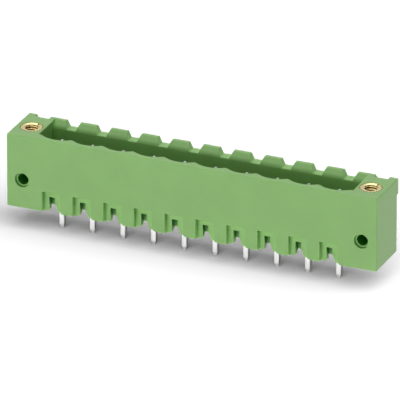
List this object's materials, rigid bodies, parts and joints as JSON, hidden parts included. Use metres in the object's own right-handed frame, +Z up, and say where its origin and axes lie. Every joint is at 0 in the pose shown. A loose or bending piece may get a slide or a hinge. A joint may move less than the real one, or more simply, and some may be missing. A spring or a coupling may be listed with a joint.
{
  "type": "pin header",
  "caption": "Board header with a moulded trough, a single row of square pins and a threaded brass insert in a flange at each end.",
  "frame": {"origin": "middle of the pin row, on the board's surface where the feet stand", "axes": "+X along the pin row, +Y from the front wall to the back wall with the latching lip, +Z up out of the board, the way the plug leaves"},
  "size_m": [0.061, 0.0086, 0.0159],
  "materials": {
    "housing": "moulded green polyamide, semi-gloss",
    "pins": "bright tin plating",
    "inserts": "turned and knurled brass"
  },
  "bodies": {
    "root": {"housing": "housing", "pin_01": "pins", "pin_02": "pins", "pin_03": "pins", "pin_04": "pins", "pin_05": "pins", "pin_06": "pins", "pin_07": "pins", "pin_08": "pins", "pin_09": "pins", "pin_10": "pins", "insert_left": "inserts", "insert_right": "inserts"}
  },
  "joints": []
}
